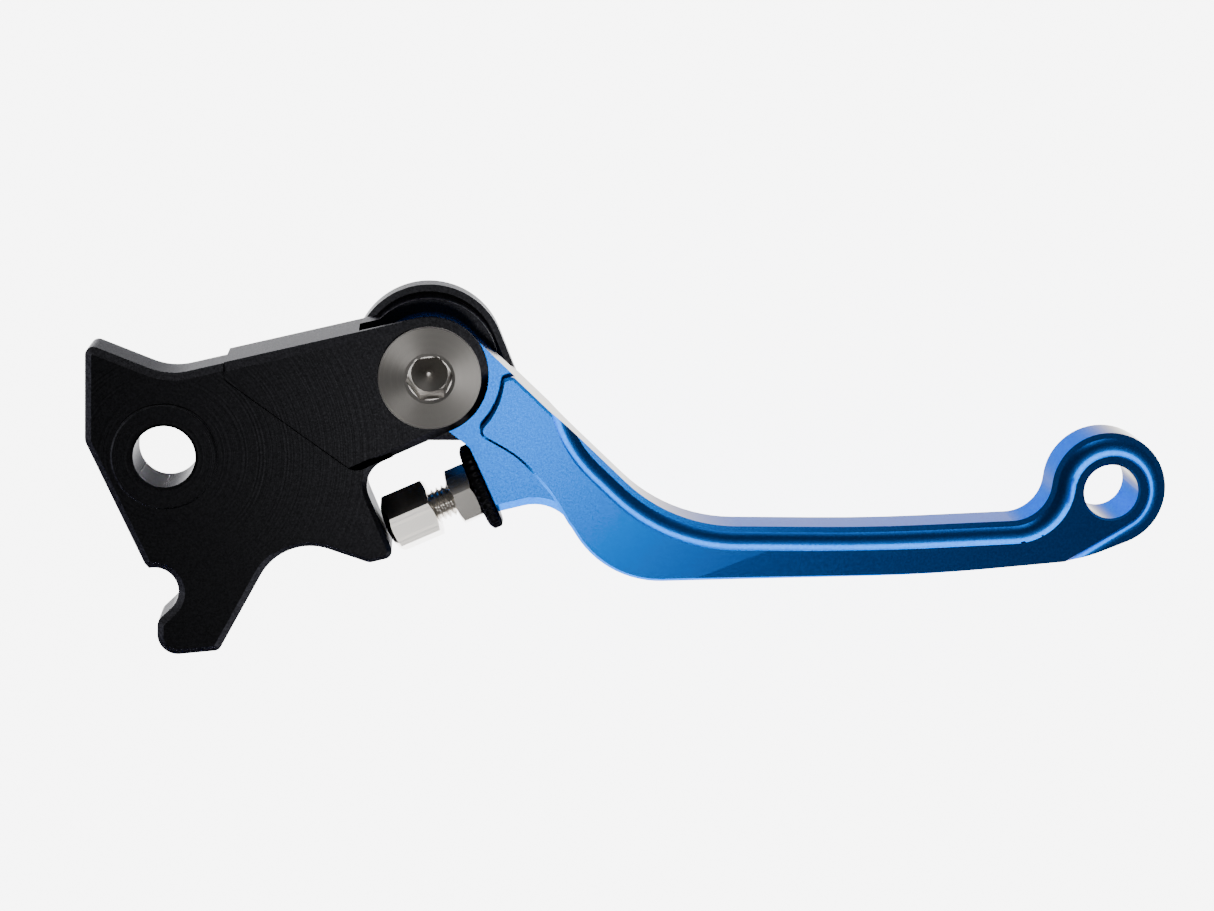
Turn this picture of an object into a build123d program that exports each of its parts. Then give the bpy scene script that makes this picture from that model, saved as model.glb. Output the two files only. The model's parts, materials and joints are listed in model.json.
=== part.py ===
from build123d import *

import math
import os

# A folding clutch lever, lying flat.  X runs along the lever from its pivot to its tip, Y points
# forward, away from the handlebar grip, and Z is along the pivot bolt, towards its head.
# The origin is the centre of the bore that the lever turns on.  All sizes are in millimetres.

# ---- Driving dimensions: the base bracket ----
bore_radius = 4.5               # the bore that the perch bolt passes through
bore_countersink = 0.4
boss_radius = 7.7               # raised ring round that bore, on both faces
boss_height = 0.65
boss_edge = 0.25
plate_thickness = 10.4
plate_edge = 1.0                # chamfer round the plate
heel_relief = 0.3               # how far the front face is milled down round the stop
arm_edge = 1.2                  # chamfer round the arm and its front ear
arm_front = 4.7                 # height of the arm's machined front face
arm_back = -11.2                # the arm is thicker than the plate behind
arm_back_edge = 0.8
hook_centre = (-1.8, -20.15)    # the round notch that takes the cable barrel or the push rod
hook_radius = 3.5
hook_open_angle = 102           # where the notch's wall starts and ends, in degrees
hook_lip_angle = -45

# ---- Driving dimensions: the folding joint ----
fold_x = 38.3
fold_y = 11.55
neck_thickness = 7.2
side_play = 0.1                 # between the neck and each ear
shoulder_radius = 4.5           # the pivot bolt's plain shoulder
running_clearance = 0.03
bush_wall = 0.9
washer_width = 1.35             # of each thrust washer's ring
washer_thickness = 0.4
washer_play = 0.02
hub_wall = 0.75                 # of the hub outside the drive pin's hole
front_ear_lip = 0.15            # how far the front ear stands out past the hub
rear_ear_lip = 1.75             # how far the rear ear stands out past the hub
slot_lip = 3.65                 # from the hub to the root of the clevis slot
step_gap = 0.25                 # from the rear ear to the foot of the blade's raised face
head_lip = 2.95                 # how far the head stands out past the shoulder
head_thickness = 1.2
head_crown = 0.35               # the head's face rises by this much to the rim of the socket
socket_flats = 6.0
socket_depth = 4.8
socket_lead_in = 0.25
socket_turn = 7                 # degrees
bolt_thread_step = 0.5          # from the shoulder down to the thread
nut_wall = 2.5                  # of the nut outside the thread, across its flats
nut_height = 4.0
nut_washer_lip = 1.0            # how far the washer stands out past the nut's flats
nut_washer_thickness = 1.0
lock_ring_height = 1.2
fold_limit = 90                 # degrees that the blade folds forward

# ---- Driving dimensions: the return spring behind the rear ear ----
drive_pin_radius = 0.8
drive_pin_angle = -60           # degrees, with the blade at rest
drive_pin_reach = 3.2           # how far the pin stands into the housing
drive_pin_depth = 4.5           # how deep the pin is pressed into the hub
drive_slot_clearance = 0.2
wire_radius = 0.5
coil_clearance = 0.2            # between the coil and the bolt's shoulder
coil_pin_gap = 0.4              # between the coil and the drive pin
coil_turns = 3                  # whole turns, less the angle between the two legs
housing_depth = 6.8
housing_floor = 2.2
housing_edge = 0.9
pin_wall_gap = 0.4              # between the drive pin and the housing's inner wall
tail_radius = 4.0
tail_offset = (11.3, -8.3)      # from the fold axis
leg_wall_gap = 0.3              # between the moving leg's end and the housing's inner wall
fixed_leg_length = 2.0
leg_clearance = 0.05
seal_section = 0.55
seal_inset = 1.15               # from the housing's inner wall to the middle of the seal
housing_wall = 2.15             # outside the middle of the seal
foot_radius = 2.7
foot_reach = 2.5                # from the middle of the seal out to the two screws
foot_drop = 3.0                 # of the upper screw, below the fold axis
foot_pitch = 6.5
screw_radius = 1.25
screw_head_radius = 2.3
screw_length = 11.5
screw_socket_flats = 2.0
screw_socket_depth = 1.2

# ---- Driving dimensions: the blade ----
blade_mid = -1.3                # height of the blade's middle plane
blade_thickness = 12.0
blade_edge = 0.4
rim_thickness = 6.9             # what the finger grooves leave of the blade's rim
groove_width = 3.15
groove_radius = 3.4
groove_overrun = 7              # how far past the rim the groove's cutter reaches
tip_x = 138.85
tip_y = -5.5
tip_radius = 8.5
tip_hole_radius = 4.05
tip_hole_edge = 0.3
throat_radius = 6.0             # the hollow in front of the tip
knee_top_radius = 24
knee_bottom_radius = 14.6
step_corner = 1.1
heel_bevel = 1.3
upper_edge_angle = -43.8        # of the blade's upper edge beside the hub, in degrees
upper_edge_length = 41.3        # from the hub to the knee's corner
upper_middle = (-35.1, -5.7)    # corner in the long upper edge, from the tip's centre
throat_slope = 2.6
lower_tip_slope = 21.8
lower_tip_run = 6.25
lower_middle = (-26.8, -12.4)   # corner in the long lower edge, from the tip's centre
knee_bottom = (64.15, -19.0)
heel_hollow = (56.75, -7.0)      # corner between knee and heel
heel_hollow_radius = 6.5
groove_lead = 22.4              # from the hub to where the groove's run-in joins it
groove_run_in = -71             # the groove starts and ends on runs at these angles
groove_run_out = 31.8
facet_place = (82.6, -16.3)     # the outer part of each face falls away from a line through here
facet_line_angle = 20.9
facet_fall = 1.5                # degrees

# ---- Driving dimensions: the reach adjuster ----
adjuster_angle = 23.6           # degrees between the adjuster's axis and X
adjuster_arm = 18.8             # from the fold axis to the adjuster's axis
heel_face = 1.1                 # along the adjuster's axis, from the foot of that arm
thread_radius = 2.5             # M5
thread_depth = 13.0
hex_flats = 8.0
adjuster_head = 7.7
visible_thread = 3.2
locknut_height = 3.4
pad_washer_radius = 6.6
pad_washer_thickness = 2.0
pad_washer_edge = 0.45
stop_gap = 0.1
adjuster_travel = 1.6           # two whole turns of the 0.8 mm thread
heel_above_axis = 6.55          # how far the blade's heel face reaches on each side of the axis
heel_below_axis = 4.1
stop_below_axis = 3.6

# ---- Worked out from the dimensions above ----
fold = Vector(fold_x, fold_y)
tip = Vector(tip_x, tip_y)
plate_top = plate_thickness / 2
slot_front = blade_mid + neck_thickness / 2 + side_play
slot_back = blade_mid - neck_thickness / 2 - side_play
housing_back = arm_back - housing_depth
bush_radius = shoulder_radius + running_clearance + bush_wall
coil_radius = shoulder_radius + coil_clearance + wire_radius
drive_pin_circle = coil_radius + wire_radius + coil_pin_gap + drive_pin_radius
cavity_radius = drive_pin_circle + drive_pin_radius + pin_wall_gap
seal_radius = cavity_radius + seal_inset
housing_radius = seal_radius + housing_wall
leg_reach = cavity_radius - leg_wall_gap - coil_radius
hub_radius = drive_pin_circle + drive_pin_radius + hub_wall
front_ear_radius = hub_radius + front_ear_lip
rear_ear_radius = hub_radius + rear_ear_lip
slot_radius = hub_radius + slot_lip
step_radius = rear_ear_radius + step_gap
head_radius = shoulder_radius + head_lip
bolt_thread_radius = shoulder_radius - bolt_thread_step
nut_flats = 2 * (bolt_thread_radius + nut_wall)
nut_washer_radius = nut_flats / 2 + nut_washer_lip
adjuster_end = heel_face - pad_washer_thickness - locknut_height - visible_thread - adjuster_head
stop_face = adjuster_end - stop_gap
foot_upper = fold - Vector(seal_radius + foot_reach, foot_drop)
foot_lower = foot_upper - Vector(0, foot_pitch)


def toward(angle):
    """Unit vector at an angle from X, in degrees."""
    return Vector(math.cos(math.radians(angle)), math.sin(math.radians(angle)))


def on_circle(centre, radius, angle):
    return Vector(*tuple(centre)[:2]) + toward(angle) * radius


def tangent_point(start, centre, radius, side):
    """Where a line from start touches a circle; side is 1 for its left and -1 for its right."""
    away = centre - start
    bearing = math.degrees(math.atan2(away.Y, away.X))
    spread = math.degrees(math.asin(radius / away.length))
    return on_circle(centre, radius, bearing + side * (90 + spread))


def inset_corner(before, corner, after, inset):
    """A corner of an outline, moved inwards so that both its sides move by inset."""
    first = (corner - before).normalized()
    second = (after - corner).normalized()
    first_normal = Vector(first.Y, -first.X)
    second_normal = Vector(second.Y, -second.X)
    return corner + (first_normal + second_normal) * (inset / (1 + first_normal.dot(second_normal)))


adjuster_foot = on_circle(fold, adjuster_arm, adjuster_angle - 90)


def beside_adjuster(along, below):
    """A point given along the adjuster's axis and below it."""
    return adjuster_foot + toward(adjuster_angle) * along + toward(adjuster_angle - 90) * below


def adjuster_plane(along):
    """A plane square to the adjuster's axis, facing the blade."""
    place = beside_adjuster(along, 0)
    facing = toward(adjuster_angle)
    return Plane(origin=(place.X, place.Y, blade_mid), x_dir=(0, 0, 1), z_dir=(facing.X, facing.Y, 0))


# ---- Base bracket: plate, hook, heel and the thick arm that ends in the clevis ----
arm_root = Vector(0.65, 11.7)          # where the plate's two upper edges meet
arm_lower = Vector(28.0, -2.45)         # where the arm's lower edge meets the stop face
ear_top = tangent_point(arm_root, fold, front_ear_radius, 1)
ear_bottom = tangent_point(arm_lower, fold, front_ear_radius, -1)
hook_start = on_circle(hook_centre, hook_radius, hook_open_angle)
hook_end = on_circle(hook_centre, hook_radius, hook_lip_angle)
stop_corner = beside_adjuster(stop_face, stop_below_axis)
ear_nose = on_circle(fold, front_ear_radius, -20)

with BuildSketch() as plate_outline:
    with BuildLine():
        FilletPolyline(
            hook_start, (-3.15, -16.05), (-11.45, 2.1), (-11.15, 16.45), arm_root, ear_top,
            radius=(0, 2, 1.2, 9.3),
        )
        ThreePointArc(ear_top, ear_nose, ear_bottom)
        FilletPolyline(
            ear_bottom, arm_lower, stop_corner, (29.5, -16.0), (17.05, -11.65), (7.45, -29.1),
            (-1.6, -29.95), (-1.45, -24.65), hook_end,
            radius=(4.0, 1.2, 1.5, 8.2, 1.2, 3.0, 1.6),
        )
        ThreePointArc(hook_end, on_circle(hook_centre, hook_radius, 20), hook_start)
    make_face()

arm_start = arm_root + (ear_top - arm_root).normalized() * 8.2
arm_end = ear_bottom + (arm_lower - ear_bottom).normalized() * 9.6

with BuildLine() as ridge:
    FilletPolyline(arm_end, (27.3, -2.4), (8.7, 11.2), arm_start, radius=(2.5, 1.2))

with BuildSketch() as arm_outline:
    with BuildLine():
        add(ridge.line)
        Line(arm_start, ear_top)
        ThreePointArc(ear_top, ear_nose, ear_bottom)
        Line(ear_bottom, arm_end)
    make_face()


# the arm is chamfered on a longer outline, so that its edge along the ridge stays sharp
with BuildSketch() as long_outline:
    with BuildLine():
        Polyline(
            ear_bottom, ear_bottom + (arm_lower - ear_bottom).normalized() * 40, arm_root, ear_top,
        )
        ThreePointArc(ear_top, ear_nose, ear_bottom)
    make_face()

with BuildSketch() as relief_outline:
    with BuildLine():
        Spline((29, -2.7), (20.9, -5.3), (17.2, -11.2), (13.5, -17.3))
        Polyline((13.5, -17.3), (16, -40), (45, -40), (45, -2.7), (29, -2.7))
    make_face()

with BuildPart() as arm:
    with BuildSketch(Plane.XY.offset(arm_back)):
        add(long_outline.sketch)
    extrude(amount=arm_front - arm_back)
    chamfer(arm.edges().group_by(Axis.Z)[-1], arm_edge)
    with BuildSketch(Plane.XY.offset(arm_back)):
        with Locations(fold):
            Circle(rear_ear_radius)
    extrude(amount=slot_back - arm_back)
    chamfer(arm.edges().group_by(Axis.Z)[0], arm_back_edge)
    with BuildSketch(Plane.XY.offset(arm_back)):
        add(arm_outline.sketch)
        with Locations(fold):
            Circle(rear_ear_radius)
    extrude(amount=arm_front - arm_back, mode=Mode.INTERSECT)

with BuildPart() as base_bracket:
    with BuildSketch(Plane.XY.offset(-plate_top)):
        add(plate_outline.sketch)
    extrude(amount=plate_thickness)
    chamfer(base_bracket.edges().group_by(Axis.Z)[-1], plate_edge)
    chamfer(base_bracket.edges().group_by(Axis.Z)[0], plate_edge)
    with BuildSketch(Plane.XY.offset(plate_top - heel_relief)):
        add(relief_outline.sketch)
    extrude(amount=heel_relief, mode=Mode.SUBTRACT)
    with BuildSketch(Plane.XY.offset(-plate_top)):
        add(arm_outline.sketch)
    extrude(amount=plate_thickness, mode=Mode.SUBTRACT)
    add(arm.part)
    # the clevis slot and the hole for the pivot bolt
    with BuildSketch(Plane.XY.offset(slot_back)):
        with Locations(fold):
            Circle(slot_radius)
    extrude(amount=slot_front - slot_back, mode=Mode.SUBTRACT)
    with BuildSketch(Plane.XY.offset(arm_back)):
        with Locations(fold):
            Circle(shoulder_radius + running_clearance)
    extrude(amount=arm_front - arm_back, mode=Mode.SUBTRACT)
    # the curved slot that lets the drive pin swing with the blade
    slot_half = drive_pin_radius + drive_slot_clearance
    with BuildSketch(Plane.XY.offset(arm_back)):
        with Locations(fold):
            SlotArc(
                CenterArc((0, 0), drive_pin_circle, drive_pin_angle, fold_limit),
                height=2 * slot_half,
            )
    extrude(amount=slot_back - arm_back, mode=Mode.SUBTRACT)
    # tapped holes for the housing's two screws
    with BuildSketch(Plane.XY.offset(arm_back)):
        with Locations(foot_upper, foot_lower):
            Circle(screw_radius + running_clearance)
    extrude(amount=housing_back + screw_length + 0.5 - arm_back, mode=Mode.SUBTRACT)
    # the lever's own bore, in a raised ring on each face
    with BuildSketch(Plane.XY.offset(-plate_top - boss_height)):
        Circle(boss_radius)
    extrude(amount=plate_thickness + 2 * boss_height)
    boss_rims = base_bracket.edges().filter_by(GeomType.CIRCLE).filter_by(
        lambda edge: abs(edge.radius - boss_radius) < 0.01
    )
    chamfer(boss_rims.group_by(Axis.Z)[0] + boss_rims.group_by(Axis.Z)[-1], boss_edge)
    with BuildSketch(Plane.XY.offset(-plate_top - boss_height)):
        Circle(bore_radius)
    extrude(amount=plate_thickness + 2 * boss_height, mode=Mode.SUBTRACT)
    bore_rims = base_bracket.edges().filter_by(GeomType.CIRCLE).filter_by(
        lambda edge: abs(edge.radius - bore_radius) < 0.01 and abs(edge.arc_center.X) < 0.01
    )
    chamfer(bore_rims, bore_countersink)
base_bracket.part.label = "base_bracket"


# ---- Blade: a neck and heel milled down on both faces, a raised face, and a finger groove ----
def bearing(vector):
    return math.degrees(math.atan2(vector.Y, vector.X))


hub_tangent = on_circle(fold, hub_radius, upper_edge_angle + 90)
knee_top = hub_tangent + toward(upper_edge_angle) * upper_edge_length
middle_top = tip + Vector(*upper_middle)
throat_up = toward(throat_slope + 90)
throat_gap = tip - (middle_top + throat_up * throat_radius)
centres_apart = tip_radius + throat_radius
throat_along = throat_gap.dot(toward(throat_slope)) - math.sqrt(
    centres_apart**2 - throat_gap.dot(throat_up) ** 2
)
throat_centre = middle_top + throat_up * throat_radius + toward(throat_slope) * throat_along
throat_start = throat_centre - throat_up * throat_radius


def upper_edge(start, inset, tip_end_angle):
    """The blade's upper edge and tip, moved into the blade by inset."""
    first = inset_corner(hub_tangent, knee_top, middle_top, inset)
    second = inset_corner(knee_top, middle_top, throat_start, inset)
    run_end = throat_start - throat_up * inset
    FilletPolyline(*start, first, second, run_end, radius=(
        *(20 for _ in start[1:]), knee_top_radius + inset, 300,
    ))
    turn = bearing(tip - throat_centre) - (throat_slope - 90)
    CenterArc(throat_centre, throat_radius + inset, throat_slope - 90, turn)
    arrive = bearing(throat_centre - tip)
    CenterArc(tip, tip_radius - inset, arrive, tip_end_angle - arrive)


lower_tip = on_circle(tip, tip_radius, lower_tip_slope - 90)
lower_shoulder = lower_tip + toward(lower_tip_slope + 180) * lower_tip_run
heel_low = beside_adjuster(heel_face, heel_below_axis)
heel_high = beside_adjuster(heel_face, -heel_above_axis)
heel_root = heel_high + toward(142) * 5.5
heel_hollow_point = Vector(*heel_hollow)

with BuildSketch() as blade_outline:
    with BuildLine():
        upper_edge([hub_tangent], 0, lower_tip_slope - 90)
        FilletPolyline(
            lower_tip, lower_shoulder, tip + Vector(*lower_middle), knee_bottom, heel_hollow,
            heel_low, heel_high, heel_root, radius=(15, 250, knee_bottom_radius, heel_hollow_radius, 0, 1.5),
        )
        Polyline(heel_root, fold, hub_tangent)
    make_face()
    with Locations(fold):
        Circle(hub_radius)

step_start = on_circle(fold, step_radius, -10)
step_end = on_circle(fold, step_radius, -41)
step_top = step_start + toward(80) * 1.5

with BuildSketch() as raised_outline:
    add(blade_outline.sketch)
    with BuildSketch(mode=Mode.SUBTRACT):
        with BuildLine():
            FilletPolyline(step_top + toward(16.5) * 7, step_top, step_start, radius=0.8)
            CenterArc(fold, step_radius, -10, -31)
            FilletPolyline(
                step_end, step_end + toward(-131) * 1.9, (51.2, -0.35), (56.0, -5.7), (60.9, -14.1),
                (60.9, -30), (20, -30), (20, 40), step_top + toward(16.5) * 7 + Vector(0, 20),
                step_top + toward(16.5) * 7, radius=(1.3, 14, 16, 0, 0, 0, 0, 0),
            )
        make_face()
    fillet(raised_outline.vertices().sort_by(Axis.Y)[-1], step_corner)

# the groove's line is the rim moved in, with a straight run into it and one out of it
inward = toward(upper_edge_angle - 90)
groove_in = hub_tangent + toward(upper_edge_angle) * groove_lead + inward * groove_width
groove_out = on_circle(tip, tip_radius - groove_width, groove_run_out - 90)

with BuildLine() as groove_line:
    upper_edge(
        [groove_in - toward(groove_run_in) * 8, groove_in], groove_width, groove_run_out - 90
    )
    Line(groove_out, groove_out + toward(groove_run_out + 180) * 12.5)

washer_sink = washer_thickness - side_play + washer_play
washer_outer = shoulder_radius + running_clearance + washer_width
neck_front = blade_mid + neck_thickness / 2
neck_back = blade_mid - neck_thickness / 2

with BuildPart() as neck:
    with BuildSketch(Plane.XY.offset(neck_back)):
        add(blade_outline.sketch)
    extrude(amount=neck_thickness)
    # a bevel along both lower edges of the heel
    for height in (neck_front, neck_back):
        with BuildLine() as heel_edge:
            FilletPolyline(
                heel_low + (heel_low - heel_hollow_point).normalized(), heel_hollow_point,
                Vector(*knee_bottom), radius=heel_hollow_radius,
            )
        edge_path = heel_edge.line.moved(Location((0, 0, height)))
        with BuildSketch(Plane(origin=edge_path @ 0, z_dir=edge_path % 0)):
            Rectangle(heel_bevel * math.sqrt(2), heel_bevel * math.sqrt(2), rotation=45)
        sweep(path=edge_path, mode=Mode.SUBTRACT)

with BuildPart() as blade:
    with BuildSketch(Plane.XY.offset(blade_mid - blade_thickness / 2)):
        add(raised_outline.sketch)
    extrude(amount=blade_thickness)
    chamfer(blade.edges().group_by(Axis.Z)[-1] + blade.edges().group_by(Axis.Z)[0], blade_edge)
    # each outer face falls away a little towards the tip, and has its finger groove
    for side in (1, -1):
        face_height = blade_mid + side * blade_thickness / 2
        across = toward(facet_line_angle - 90)
        fall = math.radians(facet_fall)
        facet = Plane(
            origin=(*facet_place, face_height),
            x_dir=(across.X * math.cos(fall), across.Y * math.cos(fall), -side * math.sin(fall)),
            z_dir=(across.X * math.sin(fall), across.Y * math.sin(fall), side * math.cos(fall)),
        )
        with BuildSketch(facet):
            Rectangle(60, 200, align=(Align.MIN, Align.CENTER))
        extrude(amount=3, mode=Mode.SUBTRACT)
        floor_height = blade_mid + side * rim_thickness / 2
        rise = (blade_thickness - rim_thickness) / 2
        reach = math.sqrt(groove_radius**2 - (groove_radius - rise) ** 2)
        middle = (Vector(-reach, rise - groove_radius) / groove_radius + Vector(0, -1)).normalized()
        section = Plane(
            origin=groove_line.line @ 0,
            x_dir=toward(groove_run_in + 90),
            z_dir=toward(groove_run_in),
        )
        with BuildSketch(section):
            with BuildLine():
                Line((0, face_height + side), (0, face_height))
                ThreePointArc(
                    (0, face_height),
                    (
                        reach + middle.X * groove_radius,
                        floor_height + side * groove_radius * (1 + middle.Y),
                    ),
                    (reach, floor_height),
                )
                Polyline(
                    (reach, floor_height), (groove_overrun, floor_height),
                    (groove_overrun, face_height + side), (0, face_height + side),
                )
            make_face()
        sweep(path=groove_line.line, mode=Mode.SUBTRACT)
    add(neck.part)
    # the hub's bore for its bush, with a sunk seat for each thrust washer
    with BuildSketch(Plane.XY.offset(neck_back)):
        with Locations(fold):
            Circle(bush_radius)
    extrude(amount=neck_thickness, mode=Mode.SUBTRACT)
    for seat_bottom in (neck_front - washer_sink, neck_back):
        with BuildSketch(Plane.XY.offset(seat_bottom)):
            with Locations(fold):
                Circle(washer_outer + washer_play)
        extrude(amount=washer_sink, mode=Mode.SUBTRACT)
    with BuildSketch(Plane.XY.offset(neck_back)):
        with Locations(on_circle(fold, drive_pin_circle, drive_pin_angle)):
            Circle(drive_pin_radius)
    extrude(amount=drive_pin_depth, mode=Mode.SUBTRACT)
    # the tapped hole for the adjuster, cut to the thread's outer size
    with BuildSketch(adjuster_plane(heel_face)):
        Circle(thread_radius + running_clearance)
    extrude(amount=thread_depth, mode=Mode.SUBTRACT)
    # the hole through the tip
    with BuildSketch(Plane.XY.offset(blade_mid - blade_thickness / 2)):
        with Locations(tip):
            Circle(tip_hole_radius)
    extrude(amount=blade_thickness, mode=Mode.SUBTRACT)
    tip_rims = blade.edges().filter_by(
        lambda edge: abs((edge @ 0.5 - tip).length**2 - tip_hole_radius**2 - (edge @ 0.5).Z**2) < 0.1
    )
    chamfer(tip_rims, tip_hole_edge)
blade.part.label = "blade"

# ---- Bush and thrust washers in the blade's hub ----
fold_axis = Axis((fold_x, fold_y, 0), (0, 0, 1))

with BuildPart() as hub_bush:
    with BuildSketch(Plane.XY.offset(neck_back + washer_sink)):
        with Locations(fold):
            Circle(bush_radius)
            Circle(shoulder_radius + running_clearance, mode=Mode.SUBTRACT)
    extrude(amount=neck_thickness - 2 * washer_sink)
hub_bush.part.label = "hub_bush"

with BuildSketch() as washer_ring:
    with Locations(fold):
        Circle(washer_outer)
        Circle(shoulder_radius + running_clearance, mode=Mode.SUBTRACT)

with BuildPart() as front_thrust_washer:
    with BuildSketch(Plane.XY.offset(neck_front - washer_sink)):
        add(washer_ring.sketch)
    extrude(amount=washer_thickness)
front_thrust_washer.part.label = "front_thrust_washer"

with BuildPart() as rear_thrust_washer:
    with BuildSketch(Plane.XY.offset(neck_back + washer_sink - washer_thickness)):
        add(washer_ring.sketch)
    extrude(amount=washer_thickness)
rear_thrust_washer.part.label = "rear_thrust_washer"

# ---- Drive pin: pressed in the hub, it carries the spring's moving leg ----
with BuildPart() as drive_pin:
    with BuildSketch(Plane.XY.offset(arm_back - drive_pin_reach)):
        with Locations(on_circle(fold, drive_pin_circle, drive_pin_angle)):
            Circle(drive_pin_radius)
    extrude(amount=neck_back + drive_pin_depth - arm_back + drive_pin_reach)
    chamfer(drive_pin.edges().group_by(Axis.Z)[0], drive_pin_radius / 4)
drive_pin.part.label = "drive_pin"

# ---- Pivot bolt: crowned head with a hexagon socket, plain shoulder, threaded end ----
head_top = arm_front + head_thickness
shoulder_end = housing_back + 0.2
bolt_end = housing_back - nut_washer_thickness - nut_height - 0.6
socket_corner = socket_flats / math.sqrt(3)

with BuildPart() as pivot_bolt:
    with BuildSketch(Plane(origin=(fold_x, fold_y, 0), x_dir=(1, 0, 0), z_dir=(0, -1, 0))):
        with BuildLine():
            Polyline(
                (0, bolt_end),
                (bolt_thread_radius - 0.6, bolt_end),
                (bolt_thread_radius, bolt_end + 0.6),
                (bolt_thread_radius, shoulder_end),
                (shoulder_radius, shoulder_end),
                (shoulder_radius, arm_front),
                (head_radius, arm_front),
                (head_radius, head_top - head_crown),
                (socket_corner + socket_lead_in, head_top),
                (0, head_top),
                close=True,
            )
        make_face()
    revolve(axis=fold_axis)
    with BuildSketch(Plane.XY.offset(head_top)):
        with Locations(fold):
            RegularPolygon(socket_flats / 2, 6, major_radius=False, rotation=socket_turn)
    extrude(amount=-socket_depth, mode=Mode.SUBTRACT)
    # the lead-in round the socket, and the drill point at its bottom
    with BuildSketch(Plane(origin=(fold_x, fold_y, 0), x_dir=(1, 0, 0), z_dir=(0, -1, 0))):
        with BuildLine():
            Polyline(
                (0, head_top),
                (socket_corner + socket_lead_in, head_top),
                (socket_corner - socket_lead_in, head_top - socket_lead_in),
                (0, head_top - socket_lead_in),
                close=True,
            )
        make_face()
        with BuildLine():
            Polyline(
                (0, head_top - socket_depth),
                (socket_flats / 2 - 0.3, head_top - socket_depth),
                (0, head_top - socket_depth - 1.2),
                close=True,
            )
        make_face()
    revolve(axis=fold_axis, mode=Mode.SUBTRACT)
pivot_bolt.part.label = "pivot_bolt"

# ---- Spring housing: a cup on the back of the rear ear, with a foot on the arm and a tail ----
seal_groove = seal_section + 0.1
cavity_bottom = housing_back + housing_floor
# the moving leg lies against the far side of the drive pin; the fixed leg is whole turns back
leg_lead = math.degrees(math.asin((drive_pin_radius + wire_radius) / drive_pin_circle))
coil_end = drive_pin_angle + leg_lead
coil_start = coil_end
coil_bottom = cavity_bottom + wire_radius + 0.1
coil_top = arm_back - drive_pin_reach / 4
leg_hole_depth = fixed_leg_length - (coil_bottom - cavity_bottom) + leg_clearance

with BuildPart() as spring_housing:
    with BuildSketch(Plane.XY.offset(housing_back)):
        with Locations(fold):
            Circle(housing_radius)
        with Locations(fold + Vector(*tail_offset)):
            Circle(tail_radius)
        with Locations(foot_upper, foot_lower):
            Circle(foot_radius)
        make_hull()
    extrude(amount=housing_depth)
    chamfer(spring_housing.edges().group_by(Axis.Z)[-1], housing_edge)
    chamfer(spring_housing.edges().group_by(Axis.Z)[0], housing_edge)
    with BuildSketch(Plane.XY.offset(housing_back + housing_floor)):
        with Locations(fold):
            Circle(cavity_radius)
    extrude(amount=housing_depth - housing_floor, mode=Mode.SUBTRACT)
    with BuildSketch(Plane.XY.offset(housing_back)):
        with Locations(fold):
            Circle(shoulder_radius + running_clearance)
        with Locations(foot_upper, foot_lower):
            Circle(screw_radius + running_clearance)
    extrude(amount=housing_depth, mode=Mode.SUBTRACT)
    with BuildSketch(Plane.XY.offset(arm_back)):
        with Locations(fold):
            Circle(seal_radius + seal_groove)
            Circle(seal_radius - seal_groove, mode=Mode.SUBTRACT)
    extrude(amount=-2 * seal_section, mode=Mode.SUBTRACT)
    # countersinks for the two screws, and the hole for the spring's fixed leg
    with Locations((foot_upper.X, foot_upper.Y, housing_back), (foot_lower.X, foot_lower.Y, housing_back)):
        Cone(
            screw_head_radius, screw_radius, screw_head_radius - screw_radius,
            align=(Align.CENTER, Align.CENTER, Align.MIN), mode=Mode.SUBTRACT,
        )
    with BuildSketch(Plane.XY.offset(cavity_bottom - leg_hole_depth)):
        with Locations(on_circle(fold, coil_radius, coil_start)):
            Circle(wire_radius + leg_clearance)
    extrude(amount=leg_hole_depth, mode=Mode.SUBTRACT)
spring_housing.part.label = "spring_housing"


# ---- O-ring in the housing's groove ----
with BuildPart() as housing_seal:
    with BuildSketch(Plane(origin=(fold_x, fold_y, 0), x_dir=(1, 0, 0), z_dir=(0, -1, 0))):
        with Locations((seal_radius, arm_back - seal_section)):
            Circle(seal_section)
    revolve(axis=fold_axis)
housing_seal.part.label = "housing_seal"

# ---- Two countersunk screws hold the housing on the arm ----
with BuildPart() as housing_screws:
    for foot in (foot_upper, foot_lower):
        screw_axis = Axis((foot.X, foot.Y, 0), (0, 0, 1))
        with BuildSketch(Plane(origin=(foot.X, foot.Y, 0), x_dir=(1, 0, 0), z_dir=(0, -1, 0))):
            with BuildLine():
                Polyline(
                    (0, housing_back),
                    (screw_head_radius, housing_back),
                    (screw_radius, housing_back + screw_head_radius - screw_radius),
                    (screw_radius, housing_back + screw_length - 0.3),
                    (screw_radius - 0.3, housing_back + screw_length),
                    (0, housing_back + screw_length),
                    close=True,
                )
            make_face()
        revolve(axis=screw_axis)
    with BuildSketch(Plane.XY.offset(housing_back)):
        with Locations(foot_upper, foot_lower):
            RegularPolygon(screw_socket_flats / 2, 6, major_radius=False)
    extrude(amount=screw_socket_depth, mode=Mode.SUBTRACT)
housing_screws.part.label = "housing_screws"

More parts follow.
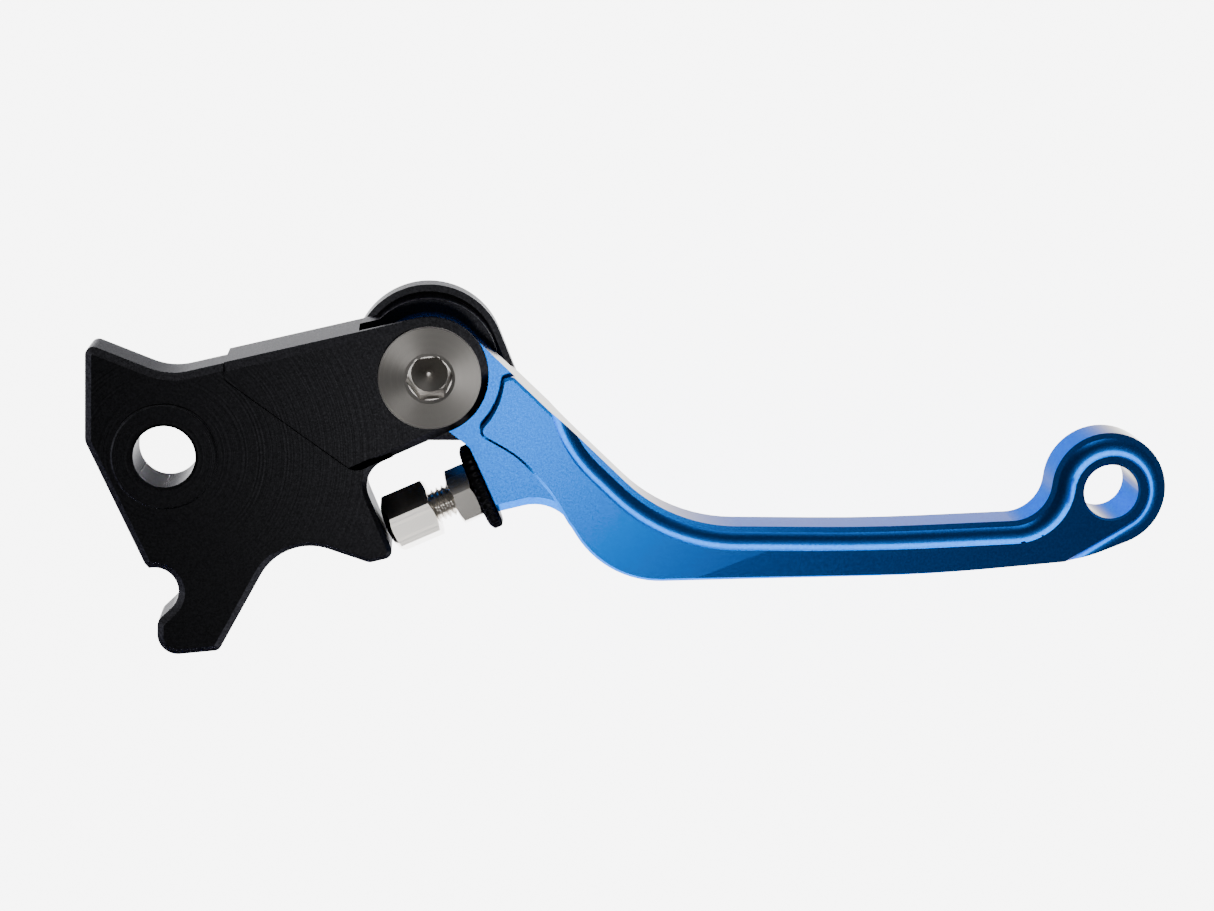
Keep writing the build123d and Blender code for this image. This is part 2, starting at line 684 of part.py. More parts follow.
# ---- Return spring: a coil round the bolt, its moving leg on the drive pin ----
coil_pitch = (coil_top - coil_bottom) / coil_turns
with BuildLine() as coil_line:
    Helix(
        coil_pitch, coil_top - coil_bottom, coil_radius, center=(fold_x, fold_y, coil_bottom),
    )
with BuildPart() as torsion_spring:
    with BuildSketch(Plane(origin=coil_line.line @ 0, z_dir=coil_line.line % 0)):
        Circle(wire_radius)
    sweep(path=coil_line.line)
    with BuildSketch(Plane(origin=coil_line.line @ 0 + Vector(0, 0, -fixed_leg_length))):
        Circle(wire_radius)
    extrude(amount=fixed_leg_length)
    with BuildSketch(Plane(origin=coil_line.line @ 1, z_dir=(1, 0, 0))):
        Circle(wire_radius)
    extrude(amount=leg_reach)
    with Locations(coil_line.line @ 0, coil_line.line @ 1):
        Sphere(wire_radius)
torsion_spring.part = torsion_spring.part.rotate(fold_axis, coil_end)
torsion_spring.part.label = "torsion_spring"

# ---- Washer and self-locking nut on the end of the pivot bolt ----
nut_face = housing_back - nut_washer_thickness
with BuildPart() as pivot_nut_washer:
    with BuildSketch(Plane.XY.offset(nut_face)):
        with Locations(fold):
            Circle(nut_washer_radius)
            Circle(bolt_thread_radius + running_clearance, mode=Mode.SUBTRACT)
    extrude(amount=nut_washer_thickness)
    chamfer(pivot_nut_washer.faces().sort_by(Axis.Z)[0].outer_wire().edges(), 0.2)
pivot_nut_washer.part.label = "pivot_nut_washer"

nut_end = nut_face - nut_height
ring_wall = (nut_flats / 2 - bolt_thread_radius) * 0.6
with BuildPart() as pivot_nut:
    with BuildSketch(Plane.XY.offset(nut_end)):
        with Locations(fold):
            RegularPolygon(nut_flats / 2, 6, major_radius=False)
    extrude(amount=nut_height)
    # the corners are turned off at both ends
    with BuildSketch(Plane(origin=(fold_x, fold_y, 0), x_dir=(1, 0, 0), z_dir=(0, -1, 0))):
        with BuildLine():
            Polyline(
                (0, nut_end),
                (nut_flats / 2 - 0.1, nut_end),
                (nut_flats / 2 + 1.1, nut_end + 0.7),
                (nut_flats / 2 + 1.1, nut_face - 0.5),
                (nut_flats / 2, nut_face),
                (0, nut_face),
                close=True,
            )
        make_face()
    revolve(axis=fold_axis, mode=Mode.INTERSECT)
    with BuildSketch(Plane.XY.offset(nut_end)):
        with Locations(fold):
            Circle(bolt_thread_radius + running_clearance)
    extrude(amount=nut_height, mode=Mode.SUBTRACT)
    with BuildSketch(Plane.XY.offset(nut_end)):
        with Locations(fold):
            Circle(bolt_thread_radius + ring_wall)
    extrude(amount=lock_ring_height, mode=Mode.SUBTRACT)
pivot_nut.part.label = "pivot_nut"

with BuildPart() as pivot_nut_ring:
    with BuildSketch(Plane.XY.offset(nut_end)):
        with Locations(fold):
            Circle(bolt_thread_radius + ring_wall)
            Circle(bolt_thread_radius + running_clearance, mode=Mode.SUBTRACT)
    extrude(amount=lock_ring_height)
pivot_nut_ring.part.label = "pivot_nut_ring"

# ---- Reach adjuster: a bolt through a pad washer and a lock nut into the heel ----
hex_corner = hex_flats / math.sqrt(3)
locknut_face = heel_face - pad_washer_thickness
adjuster_axis = Axis(adjuster_plane(0).origin, adjuster_plane(0).z_dir)


def along_adjuster():
    """A plane that holds the adjuster's axis: x runs away from the axis, y along it."""
    place = adjuster_plane(0)
    return Plane(origin=place.origin, x_dir=place.x_dir, z_dir=place.x_dir.cross(place.z_dir))


with BuildPart() as adjuster_bolt:
    with BuildSketch(adjuster_plane(adjuster_end)):
        RegularPolygon(hex_flats / 2, 6, major_radius=False, rotation=40)
    extrude(amount=adjuster_head)
    # the stop end is domed and the thread end only chamfered
    with BuildSketch(along_adjuster()):
        with BuildLine():
            ThreePointArc((0, adjuster_end), (3.0, adjuster_end + 0.4), (hex_corner, adjuster_end + 1.25))
            Polyline(
                (hex_corner, adjuster_end + 1.25),
                (hex_corner, adjuster_end + adjuster_head - 0.3),
                (hex_flats / 2, adjuster_end + adjuster_head),
                (0, adjuster_end + adjuster_head),
                (0, adjuster_end),
            )
        make_face()
    revolve(axis=adjuster_axis, mode=Mode.INTERSECT)
    with BuildSketch(adjuster_plane(adjuster_end + adjuster_head)):
        Circle(thread_radius)
    extrude(amount=heel_face + thread_depth - 3.0 - adjuster_end - adjuster_head)
adjuster_bolt.part.label = "adjuster_bolt"

with BuildPart() as adjuster_locknut:
    with BuildSketch(adjuster_plane(locknut_face - locknut_height)):
        RegularPolygon(hex_flats / 2, 6, major_radius=False, rotation=45)
    extrude(amount=locknut_height)
    with BuildSketch(along_adjuster()):
        with BuildLine():
            Polyline(
                (0, locknut_face - locknut_height),
                (hex_flats / 2 - 0.1, locknut_face - locknut_height),
                (hex_corner, locknut_face - locknut_height + 0.4),
                (hex_corner, locknut_face - 0.4),
                (hex_flats / 2 - 0.1, locknut_face),
                (0, locknut_face),
                close=True,
            )
        make_face()
    revolve(axis=adjuster_axis, mode=Mode.INTERSECT)
    with BuildSketch(adjuster_plane(locknut_face - locknut_height)):
        Circle(thread_radius + running_clearance)
    extrude(amount=locknut_height, mode=Mode.SUBTRACT)
adjuster_locknut.part.label = "adjuster_locknut"

with BuildPart() as adjuster_washer:
    with BuildSketch(adjuster_plane(locknut_face)):
        Circle(pad_washer_radius)
        Circle(thread_radius + running_clearance, mode=Mode.SUBTRACT)
    extrude(amount=pad_washer_thickness)
    chamfer(
        adjuster_washer.edges().filter_by(GeomType.CIRCLE).filter_by(
            lambda edge: edge.radius > thread_radius + 1
        ),
        pad_washer_edge,
    )
adjuster_washer.part.label = "adjuster_washer"

os.makedirs("parts", exist_ok=True)
for piece in (
    base_bracket, blade, hub_bush, front_thrust_washer, rear_thrust_washer, drive_pin, pivot_bolt,
    spring_housing, housing_seal, housing_screws, torsion_spring, pivot_nut_washer, pivot_nut,
    pivot_nut_ring, adjuster_bolt, adjuster_locknut, adjuster_washer,
):
    export_step(piece.part, f"parts/{piece.part.label}.step")
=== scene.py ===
# %% [markdown]
# # A folding clutch lever, finished and lit
# The lever arrives as CAD pieces in one shared frame: metres, the origin at the centre of the
# pivot bore, X towards the tip and Z along the bore. This file gives every piece the finish it
# would have in the hand, and rebuilds two pieces whose fine shape can be seen: the adjuster's
# threaded bolt and its knurled washer.

import json
import math

import bmesh
import bpy
from mathutils import Matrix, Vector


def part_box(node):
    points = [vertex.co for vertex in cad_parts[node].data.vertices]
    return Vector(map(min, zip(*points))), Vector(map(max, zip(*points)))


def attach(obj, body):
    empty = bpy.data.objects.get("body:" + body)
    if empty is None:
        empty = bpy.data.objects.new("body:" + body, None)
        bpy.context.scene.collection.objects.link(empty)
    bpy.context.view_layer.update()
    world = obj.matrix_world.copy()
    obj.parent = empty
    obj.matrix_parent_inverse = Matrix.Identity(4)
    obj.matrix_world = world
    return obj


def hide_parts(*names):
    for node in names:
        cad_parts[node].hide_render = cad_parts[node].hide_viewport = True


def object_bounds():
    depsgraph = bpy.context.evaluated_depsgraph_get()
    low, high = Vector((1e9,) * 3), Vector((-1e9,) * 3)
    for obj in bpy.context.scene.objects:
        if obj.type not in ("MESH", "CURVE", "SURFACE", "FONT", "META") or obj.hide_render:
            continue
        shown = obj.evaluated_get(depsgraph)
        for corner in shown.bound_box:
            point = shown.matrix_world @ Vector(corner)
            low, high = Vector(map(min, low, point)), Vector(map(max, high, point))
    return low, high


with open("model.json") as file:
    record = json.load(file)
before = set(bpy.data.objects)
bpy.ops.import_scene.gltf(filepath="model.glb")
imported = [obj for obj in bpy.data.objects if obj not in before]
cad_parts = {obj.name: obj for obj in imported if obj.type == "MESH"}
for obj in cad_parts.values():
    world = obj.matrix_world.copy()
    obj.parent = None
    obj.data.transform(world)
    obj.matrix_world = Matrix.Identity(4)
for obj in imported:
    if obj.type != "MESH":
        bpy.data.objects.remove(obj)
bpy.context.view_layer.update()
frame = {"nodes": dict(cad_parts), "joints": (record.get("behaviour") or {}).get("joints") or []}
nodes = frame["nodes"]
MM = 0.001

# %% [markdown]
# ## Where things are
# The finishes follow the way each piece was machined, so they need the two axes that matter:
# the fold axis, which the bolt, nut and washers share, and the reach adjuster's slanted axis.

# %% Read the two axes from the joints
joints = {joint["name"]: joint for joint in frame["joints"]}
fold = Vector(joints["blade_fold"]["pos_m"])
adjuster_way = Vector(joints["adjuster_travel"]["axis"]).normalized()
adjuster_mid = sum(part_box("adjuster_washer"), Vector()) / 2
print("fold axis at mm", [round(v / MM, 2) for v in fold],
      "adjuster axis", [round(v, 4) for v in adjuster_way])

# %% [markdown]
# ## Small tools for the materials
# Every finish is a short node tree. Colours are written as the hex values a colour picker shows,
# and one function turns them into the linear values that the shader needs.

# %% Colour, node and material helpers
COLOUR_A, COLOUR_B, MIXED_COLOUR = 6, 7, 2      # the colour sockets of a Mix node


def linear(hex_colour):
    """A hex sRGB colour as linear RGBA."""
    parts = [int(hex_colour[i:i + 2], 16) / 255 for i in (0, 2, 4)]
    return (*[c / 12.92 if c <= 0.04045 else ((c + 0.055) / 1.055) ** 2.4 for c in parts], 1.0)


def node(tree, kind, inputs=None, **settings):
    """Adds a node. An input is a constant or another node's output."""
    made = tree.nodes.new("ShaderNode" + kind)
    for key, value in settings.items():
        setattr(made, key, value)
    for key, value in (inputs or {}).items():
        if isinstance(value, bpy.types.NodeSocket):
            tree.links.new(value, made.inputs[key])
        else:
            made.inputs[key].default_value = value
    return made


def maths(tree, operation, a, b=None):
    inputs = {0: a} if b is None else {0: a, 1: b}
    return node(tree, "Math", inputs, operation=operation).outputs[0]


def vector_maths(tree, operation, a, b=None):
    inputs = {0: a} if b is None else {0: a, 1: b}
    made = node(tree, "VectorMath", inputs, operation=operation)
    return made.outputs["Value" if operation in ("LENGTH", "DOT_PRODUCT") else "Vector"]


def material(name):
    """An empty material: its tree, its Principled shader and the surface position in mm."""
    made = bpy.data.materials.new(name)
    made.use_nodes = True
    tree = made.node_tree
    shader = tree.nodes["Principled BSDF"]
    place = node(tree, "TexCoord").outputs["Object"]
    place = vector_maths(tree, "MULTIPLY", place, (1 / MM, 1 / MM, 1 / MM))
    return made, tree, shader, place


def ramp(tree, value, low, high, out_low, out_high):
    """Maps value from low..high to out_low..out_high, and no further."""
    return node(tree, "MapRange", {
        "Value": value, "From Min": low, "From Max": high, "To Min": out_low, "To Max": out_high,
    }).outputs[0]


def noise(tree, place, scale, detail=2.0, rough=0.5):
    return node(tree, "TexNoise", {
        "Vector": place, "Scale": scale, "Detail": detail, "Roughness": rough,
    }).outputs["Fac"]


def ring_noise(tree, radius, scale, rough):
    """Noise that depends only on a radius, as the marks of a turning tool do."""
    along = node(tree, "CombineXYZ", {0: radius}).outputs[0]
    return noise(tree, along, scale, 2.0, rough)


def wall_lines(tree, place, scale, detail):
    """Noise that hardly changes with Z, so that it runs straight down a wall."""
    return noise(tree, vector_maths(tree, "MULTIPLY", place, (1, 1, 0.02)), scale, detail, 0.6)


def walls(tree, wall_z, flat_z):
    """1 where the normal's Z is under wall_z, and 0 where it is over flat_z."""
    normal = node(tree, "NewGeometry").outputs["Normal"]
    facing_up = maths(tree, "ABSOLUTE", node(tree, "SeparateXYZ", {0: normal}).outputs["Z"])
    return ramp(tree, facing_up, wall_z, flat_z, 1.0, 0.0)


def bump(tree, shader, height, depth_mm):
    """Raises the surface by height times depth_mm."""
    made = node(tree, "Bump", {"Height": height, "Distance": depth_mm * MM})
    tree.links.new(made.outputs["Normal"], shader.inputs["Normal"])


def two_tone(tree, shader, factor, dark, light):
    """Colours the surface from dark to light as factor goes from 0 to 1."""
    shade = node(tree, "Mix", {
        "Factor": factor, COLOUR_A: dark, COLOUR_B: light,
    }, data_type="RGBA")
    tree.links.new(shade.outputs[MIXED_COLOUR], shader.inputs["Base Color"])


def roughen(tree, shader, marks, smooth, rough):
    """Varies the roughness with a noise, which mostly lies between 0.3 and 0.7."""
    tree.links.new(ramp(tree, marks, 0.3, 0.7, smooth, rough), shader.inputs["Roughness"])


def settle(shader, **inputs):
    """Constants straight on the shader's sockets, underscores standing for spaces."""
    for key, value in inputs.items():
        shader.inputs[key.replace("_", " ")].default_value = value


def turned_tangent(tree, shader, place, centre, axis):
    """Runs the shader's highlight round an axis, as on a face turned in a lathe."""
    arm = vector_maths(tree, "SUBTRACT", place, tuple(c / MM for c in centre))
    round_axis = vector_maths(tree, "CROSS_PRODUCT", tuple(axis), arm)
    way = vector_maths(tree, "NORMALIZE", round_axis)
    tree.links.new(way, shader.inputs["Tangent"])
    return vector_maths(tree, "LENGTH", round_axis)


print("helpers ready")

# %% [markdown]
# ## Black anodised aluminium
# The bracket and the spring housing are milled from bar and dyed black. The dyed oxide is treated
# here as a very dark metal. Its edge tint is dark too, which holds down the reflection that a
# slanting view would otherwise turn pale. The cutter leaves fine upright lines on every wall,
# where its side passed, and faint arcs on the flats. The lines depend only on X and Y, so they
# run straight down each wall.

# %% Black anodised aluminium
BLACK_EDGE = (0.16, 0.16, 0.17, 1.0)
BLACK_DARK = (0.009, 0.009, 0.010, 1.0)
BLACK_LIGHT = (0.016, 0.016, 0.018, 1.0)
TOOL_MARK_MM = 0.012
ARC_SHARE = 1.6                 # the arcs' height on a flat, against the lines' on a wall
GRAIN_SHARE = 0.05

black, tree, shader, place = material("black_anodised_aluminium")
on_wall = walls(tree, 0.3, 0.7)
lines = wall_lines(tree, place, 3.2, 3.0)
from_bore = vector_maths(tree, "LENGTH", vector_maths(tree, "MULTIPLY", place, (1, 1, 0)))
arcs = ring_noise(tree, from_bore, 2.0, 0.6)
grain = noise(tree, place, 4.0, 2.0, 0.6)
flat = maths(tree, "ADD", maths(tree, "MULTIPLY", arcs, ARC_SHARE),
             maths(tree, "MULTIPLY", grain, GRAIN_SHARE))
height = node(tree, "Mix", {"Factor": on_wall, "A": flat, "B": lines}).outputs[0]
bump(tree, shader, height, TOOL_MARK_MM)
two_tone(tree, shader, ramp(tree, lines, 0.35, 0.65, 0.0, 1.0), BLACK_DARK, BLACK_LIGHT)
roughen(tree, shader, grain, 0.26, 0.34)
settle(shader, Metallic=1.0, Specular_Tint=BLACK_EDGE)
print("made", black.name)

# %% [markdown]
# ## Blue anodised aluminium
# The blade is blasted with fine beads, brightened, dyed blue and sealed. The metal shows through
# the dye, so it is a metal with a blue colour, not blue paint. Real blasting is too fine to see
# here, so its grain is drawn about 0.3 mm across. The walls are cut by the side of the tool and
# are smoother than the blasted faces, with faint upright lines.

# %% Blue anodised aluminium
BLUE_EDGE = (0.34, 0.29, 0.22, 1.0)
BLUE_DARK = (0.002, 0.085, 0.40, 1.0)
BLUE_LIGHT = (0.003, 0.13, 0.54, 1.0)
BLAST_MM = 0.005
BLAST_SHARE = 0.4               # the grain's height, against the lines' on a wall
BLASTED_ROUGHNESS, WALL_ROUGHNESS = 0.24, 0.13

blue, tree, shader, place = material("blue_anodised_aluminium")
grain = noise(tree, place, 3.4, 2.0, 0.6)
on_wall = walls(tree, 0.03, 0.12)
lines = wall_lines(tree, place, 2.6, 2.0)
height = maths(tree, "ADD", maths(tree, "MULTIPLY", grain, BLAST_SHARE),
               maths(tree, "MULTIPLY", lines, on_wall))
bump(tree, shader, height, BLAST_MM)
two_tone(tree, shader, ramp(tree, grain, 0.35, 0.65, 0.0, 1.0), BLUE_DARK, BLUE_LIGHT)
polish = ramp(tree, on_wall, 0.0, 1.0, BLASTED_ROUGHNESS, WALL_ROUGHNESS)
tree.links.new(polish, shader.inputs["Roughness"])
settle(shader, Metallic=1.0, Specular_Tint=BLUE_EDGE)
print("made", blue.name)

# %% [markdown]
# ## Turned stainless steel
# The bolt's head is faced in a lathe. Each pass of the tool leaves a fine ring, so the highlight
# is drawn out across the rings into bright fans. The tangent runs round the bolt's own axis, and
# the rings vary the polish, not the height, because a bump this fine turns into dark specks. The
# ground and black steels are plain, with a slight bump.


# %% Turned and plain steels
GROUND_MARK_MM = 0.003


def steel(name, colour, rough, centre=None, axis=(0, 0, 1), turned=0.0):
    made, tree, shader, place = material(name)
    settle(shader, Metallic=1.0, Base_Color=linear(colour))
    if centre is None:
        marks = noise(tree, place, 5.0, 3.0, 0.6)
        bump(tree, shader, marks, GROUND_MARK_MM)
    else:
        marks = ring_noise(tree, turned_tangent(tree, shader, place, centre, axis), 4.0, 0.7)
        settle(shader, Anisotropic=turned)
    roughen(tree, shader, marks, rough * 0.85, rough * 1.2)
    return made


turned_steel = steel("turned_stainless_steel", "c4c0bb", 0.30, fold, (0, 0, 1), 0.8)
hex_steel = steel("stainless_hexagon", "d0ccc6", 0.22, adjuster_mid, adjuster_way, 0.2)
nut_steel = steel("stainless_nut", "d0ccc6", 0.26, fold, (0, 0, 1), 0.2)
pin_steel = steel("ground_hard_steel", "8f9094", 0.3)
wire_steel = steel("oiled_spring_wire", "6a6b70", 0.32)
black_screw = steel("black_oxide_steel", "232327", 0.38)
print("made", turned_steel.name, hex_steel.name, nut_steel.name)

# %% [markdown]
# ## Bearing bronze, moulded plastics and rubber
# These are mostly hidden, but they show when the joint is opened up. The bush is pressed from
# bronze powder, so it is dull with tiny pores; the washers and the nut's ring are moulded.


# %% Bronze, acetal, nylon and rubber
def moulded(name, colour, rough, grain_scale, depth, metallic=0.0):
    made, tree, shader, place = material(name)
    grain = noise(tree, place, grain_scale, 3.0, 0.6)
    dark = tuple(c * 0.8 for c in linear(colour)[:3]) + (1.0,)
    two_tone(tree, shader, grain, dark, linear(colour))
    roughen(tree, shader, grain, rough * 0.9, rough * 1.1)
    settle(shader, Metallic=metallic)
    bump(tree, shader, grain, depth)
    return made


bronze = moulded("sintered_bronze", "b07a3c", 0.42, 6.0, 0.008, 1.0)
acetal = moulded("moulded_acetal", "d9d6cc", 0.38, 3.0, 0.003)
nylon = moulded("moulded_nylon", "cfd3d0", 0.3, 3.0, 0.003)
rubber = moulded("nitrile_rubber", "161616", 0.55, 4.0, 0.004)
print("made", bronze.name, acetal.name, nylon.name, rubber.name)

# %% [markdown]
# ## Screws with real threads
# A screw is a stack of rings round its axis. A ring can be round or six-sided, and its height may
# depend on the radius, which is how a chamfered or domed hexagon gets its curved corner lines.
# The thread is the same idea with rings that climb one pitch per turn.

# %% Ring and thread builders
RING_STEPS = 96
THREAD_STEPS = 64
THREAD_DEPTH = 0.61             # of the pitch, for a 60 degree thread
# the flat crest, the flank down, the flat root and the flank up: (along in pitches, down in depths)
THREAD_PROFILE = [(0.0, 0.0), (0.0625, 0.0), (0.4375, 1.0), (0.5625, 1.0), (0.9375, 0.0)]


def six_sided(flats, turn=0.0):
    """The radius of a hexagon at an angle, as a function."""
    def radius(angle):
        part = (angle - turn + math.pi / 6) % (math.pi / 3) - math.pi / 6
        return flats / 2 / math.cos(part)
    return radius


def ring_angles(turn):
    """Even angles that include the hexagon's corners."""
    return [turn + math.pi / 6 + 2 * math.pi * i / RING_STEPS for i in range(RING_STEPS)]


def round_point(radius, angle, height):
    """A point in mm, from its radius, angle and height on the Z axis."""
    return Vector((radius * math.cos(angle), radius * math.sin(angle), height))


def add_rings(mesh, rings, angles, place, closed_start=False):
    """Joins rings of (radius, height) functions or numbers into a skin, in mm."""
    rows = []
    for radius, height in rings:
        row = []
        for angle in angles:
            r = radius(angle) if callable(radius) else radius
            h = height(angle) if callable(height) else height
            row.append(mesh.verts.new(place @ round_point(r, angle, h) * MM))
        rows.append(row)
    count = len(angles)
    for lower, upper in zip(rows, rows[1:]):
        for i in range(count):
            j = (i + 1) % count
            mesh.faces.new((lower[i], lower[j], upper[j], upper[i]))
    if closed_start:
        mesh.faces.new(rows[0])


def add_thread(mesh, outer, pitch, start, end, place, runout):
    """A 60 degree thread from start to end, in mm, with a chamfered end."""
    deep = THREAD_DEPTH * pitch
    core = outer - deep - 0.25
    chamfer_start = end - 0.7 * deep - 0.2
    turns = int((end - start) / pitch) + 2
    columns = []
    for i in range(THREAD_STEPS):
        part = i / THREAD_STEPS
        column = []
        for turn in range(-1, turns):
            for along, down in THREAD_PROFILE:
                raw = start + (turn + part + along) * pitch
                z = min(max(raw, start), end)
                room = outer - max(0.0, z - chamfer_start)
                r = max(min(outer - down * deep, room), core)
                if z <= start:
                    r = outer - runout
                column.append(place @ round_point(r, 2 * math.pi * part, z) * MM)
        columns.append([mesh.verts.new(v) for v in column])
    for i in range(THREAD_STEPS):
        a = columns[i]
        b = columns[(i + 1) % THREAD_STEPS]
        # the last column meets the first one a whole turn further along
        ahead = len(THREAD_PROFILE) if i == THREAD_STEPS - 1 else 0
        for k in range(len(a) - 1 - ahead):
            quad = (a[k], b[k + ahead], b[k + 1 + ahead], a[k + 1])
            if len({v.co.to_tuple(7) for v in quad}) >= 3:
                mesh.faces.new(quad)


def finished(mesh, name, surface, body, replaced, sharp=32):
    """Turns a bmesh into a finished piece that rides on its body in place of its CAD nodes."""
    bmesh.ops.remove_doubles(mesh, verts=mesh.verts, dist=1e-6)
    bmesh.ops.dissolve_degenerate(mesh, edges=mesh.edges, dist=1e-7)
    bmesh.ops.recalc_face_normals(mesh, faces=mesh.faces)
    data = bpy.data.meshes.new(name)
    mesh.to_mesh(data)
    mesh.free()
    data.materials.append(surface)
    made = bpy.data.objects.new(name, data)
    bpy.context.scene.collection.objects.link(made)
    data.shade_smooth()
    data.set_sharp_from_angle(angle=math.radians(sharp))
    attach(made, body)
    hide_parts(*replaced)
    print("made", name, "with", len(data.polygons), "faces")


print("builders ready")

# %% [markdown]
# ## The reach adjuster's bolt
# An M5 bolt with an 8 mm hexagon head, domed where it meets the stop. Its thread shows for
# 3.2 mm between the head and the lock nut, so it is cut for real. Its length comes from the CAD
# piece: that piece's two ends along the slanted axis.

# %% Adjuster bolt
shank = [(v.co - adjuster_mid).dot(adjuster_way) for v in nodes["adjuster_bolt"].data.vertices]
low_end = min(shank) / MM
high_end = max(shank) / MM
up = Vector((0, 0, 1))
basis = Matrix((up, adjuster_way.cross(up), adjuster_way)).transposed().to_4x4()
adjuster_place = Matrix.Translation(adjuster_mid / MM) @ basis
HEAD = 7.7
FLATS = 8.0
THREAD_RADIUS, THREAD_PITCH, RUNOUT = 2.5, 0.8, 0.3
DOME_RADIUS, DOME_RISE = 3.0, 0.4       # where the hexagon's chamfer begins, and how high
turn = math.radians(10)
hexagon = six_sided(FLATS, turn)


def domed(angle):
    return low_end + DOME_RISE + (hexagon(angle) - DOME_RADIUS) * 0.52


def shouldered(angle):
    return low_end + HEAD - (hexagon(angle) - FLATS / 2) * 0.5


angles = ring_angles(turn)
mesh = bmesh.new()
add_rings(mesh, [
    (0.6, low_end + 0.02), (1.5, low_end + 0.1), (2.3, low_end + 0.24),
    (DOME_RADIUS, low_end + DOME_RISE),
    (lambda a: hexagon(a) - 0.12, lambda a: domed(a) - 0.09),
    (hexagon, lambda a: domed(a) + 0.03),
    (hexagon, lambda a: shouldered(a) - 0.03),
    (lambda a: hexagon(a) - 0.1, lambda a: shouldered(a) + 0.03),
    (FLATS / 2 - 0.1, low_end + HEAD), (THREAD_RADIUS - RUNOUT, low_end + HEAD),
], angles, adjuster_place, closed_start=True)
add_thread(mesh, THREAD_RADIUS, THREAD_PITCH, low_end + HEAD - 0.02, high_end, adjuster_place, RUNOUT)
finished(mesh, "adjuster_bolt_threaded", hex_steel, "adjuster", ["adjuster_bolt"])
print("adjuster bolt from", round(low_end, 2), "to", round(high_end, 2), "mm along its axis")

# %% [markdown]
# ## The pad washer
# The black washer behind the lock nut is turned by finger, so its rim is knurled: 36 shallow
# teeth, 0.3 mm deep. It keeps the CAD washer's radius, thickness and bore.

# %% Knurled pad washer
TEETH = 36
TOOTH_DEPTH = 0.3
STEPS_PER_TOOTH = 8
away = [(v.co - adjuster_mid) / MM for v in nodes["adjuster_washer"].data.vertices]
half = max(v.dot(adjuster_way) for v in away)
radii = [(v - adjuster_way * v.dot(adjuster_way)).length for v in away]
rim, bore = max(radii), min(radii)
washer_steps = STEPS_PER_TOOTH * TEETH


def knurl(inset):
    """The toothed rim's radius at an angle, cut back by inset."""
    return lambda angle: rim - inset - TOOTH_DEPTH / 2 * (1 - math.cos(TEETH * angle))


mesh = bmesh.new()
add_rings(mesh, [
    (bore, -half), (rim - 0.7, -half), (knurl(0.12), 0.35 - half), (knurl(0.0), 0.5 - half),
    (knurl(0.0), half - 0.5), (knurl(0.12), half - 0.35), (rim - 0.7, half), (bore, half),
    (bore, -half),
], [2 * math.pi * i / washer_steps for i in range(washer_steps)], adjuster_place)
finished(mesh, "adjuster_washer_knurled", black, "blade", ["adjuster_washer"], 50)
print("pad washer radius", round(rim, 2), "bore", round(bore, 2), "half thickness", round(half, 2))

# %% [markdown]
# ## The finishes on the CAD pieces
# The other pieces keep their CAD shape, so each only needs its surface.

# %% Dress the CAD pieces
DRESS = {
    "base_bracket": black, "spring_housing": black, "blade": blue,
    "hub_bush": bronze, "front_thrust_washer": acetal, "rear_thrust_washer": acetal,
    "drive_pin": pin_steel, "pivot_bolt": turned_steel, "pivot_nut": nut_steel,
    "pivot_nut_washer": nut_steel, "pivot_nut_ring": nylon, "torsion_spring": wire_steel,
    "housing_seal": rubber, "housing_screws": black_screw, "adjuster_locknut": hex_steel,
}
for name, surface in DRESS.items():
    nodes[name].data.materials.clear()
    nodes[name].data.materials.append(surface)
print("dressed", len(DRESS), "pieces")

# %% [markdown]
# ## The studio
# The lever lies on a pale floor that glows, as a light table does, so its outline stands out and
# its walls pick up light from below. The room is dim overhead, which keeps the black faces black,
# and brighter near the horizon. Three soft boxes do the rest. One over the hub brightens that end
# of the blade, one behind lights the groove, and one in front lights the hexagons.

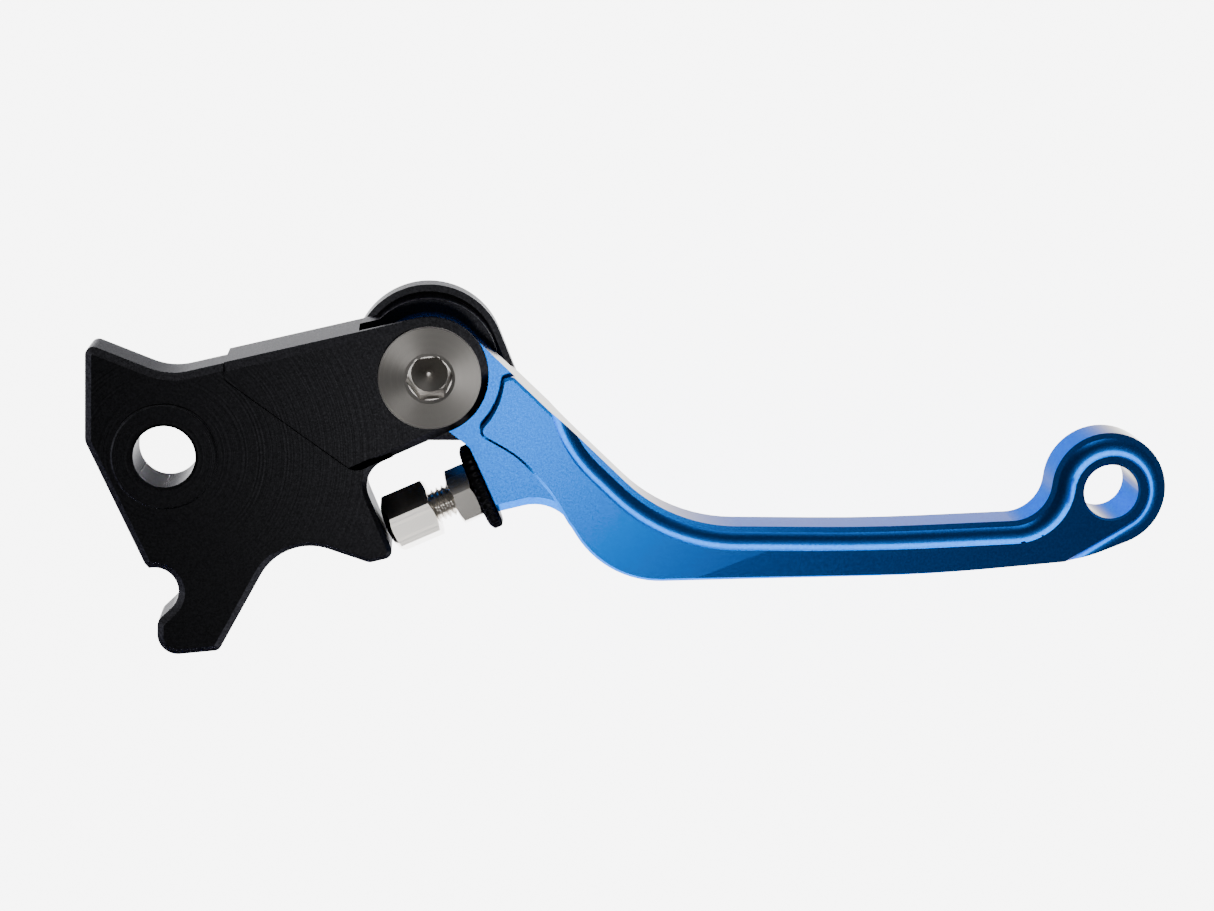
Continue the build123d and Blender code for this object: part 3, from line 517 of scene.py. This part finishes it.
# %% The glowing floor
FLOOR_HALF = 3.0
FLOOR_GLOW = 7.0
low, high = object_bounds()
floor_mesh = bpy.data.meshes.new("floor")
mesh = bmesh.new()
bmesh.ops.create_grid(mesh, x_segments=1, y_segments=1, size=FLOOR_HALF,
                      matrix=Matrix.Translation((0, 0, low.z)))
mesh.to_mesh(floor_mesh)
mesh.free()
floor = bpy.data.objects.new("floor", floor_mesh)
bpy.context.scene.collection.objects.link(floor)
paper, tree, shader, place = material("pale_paper")
two_tone(tree, shader, noise(tree, place, 0.3, 2.0), linear("f4f4f4"), linear("fafafa"))
settle(shader, Roughness=0.9, Emission_Color=(1, 1, 1, 1), Emission_Strength=FLOOR_GLOW)
floor_mesh.materials.append(paper)
print("floor at mm", round(low.z / MM, 2))

# %% The room's light
world = bpy.data.worlds.new("tent")
bpy.context.scene.world = world
world.use_nodes = True
tree = world.node_tree
way = node(tree, "TexCoord").outputs["Generated"]
parts = node(tree, "SeparateXYZ", {0: way}).outputs
overhead = ramp(tree, parts["X"], -0.05, 0.25, 0.08, 0.13)
horizon = ramp(tree, parts["Z"], 0.0, 0.5, 0.6, 0.0)
glow = maths(tree, "ADD", overhead, horizon)
tree.links.new(glow, tree.nodes["Background"].inputs["Strength"])
tree.nodes["Background"].inputs["Color"].default_value = (1, 1, 1, 1)
print("made world", world.name)


# %% Soft boxes
def soft_box(name, place, target, size, power):
    """A rectangular lamp at a place, turned to a target, in metres and watts."""
    data = bpy.data.lights.new(name, "AREA")
    data.shape = "RECTANGLE"
    data.size, data.size_y = size
    data.energy = power
    made = bpy.data.objects.new(name, data)
    made.location = place
    made.rotation_euler = (Vector(target) - Vector(place)).to_track_quat("-Z", "Y").to_euler()
    bpy.context.scene.collection.objects.link(made)
    print("lit", name)


soft_box("box_over_hub", (0.07, -0.12, 0.8), (0.057, 0.002, 0), (0.06, 0.10), 0.38)
soft_box("box_behind", (0.18, 0.3, 0.8), (0.1, 0, 0), (0.3, 0.26), 1.0)
soft_box("box_in_front", (0.12, -0.5, 0.78), (0.04, 0, 0), (0.2, 0.12), 0.33)

# %% Camera
LENS_MM = 92.2
SENSOR_MM = 36
CAMERA_PLACE = (0.0385, 0.0823, 0.45)
CAMERA_TILT = (-10.48, -3.19, 0.58)     # degrees about X, Y and Z
camera_data = bpy.data.cameras.new("camera")
camera_data.lens = LENS_MM
camera_data.sensor_width = SENSOR_MM
camera = bpy.data.objects.new("camera", camera_data)
camera.location = CAMERA_PLACE
camera.rotation_euler = tuple(math.radians(a) for a in CAMERA_TILT)
bpy.context.scene.collection.objects.link(camera)
bpy.context.scene.camera = camera
print("camera at", CAMERA_PLACE)
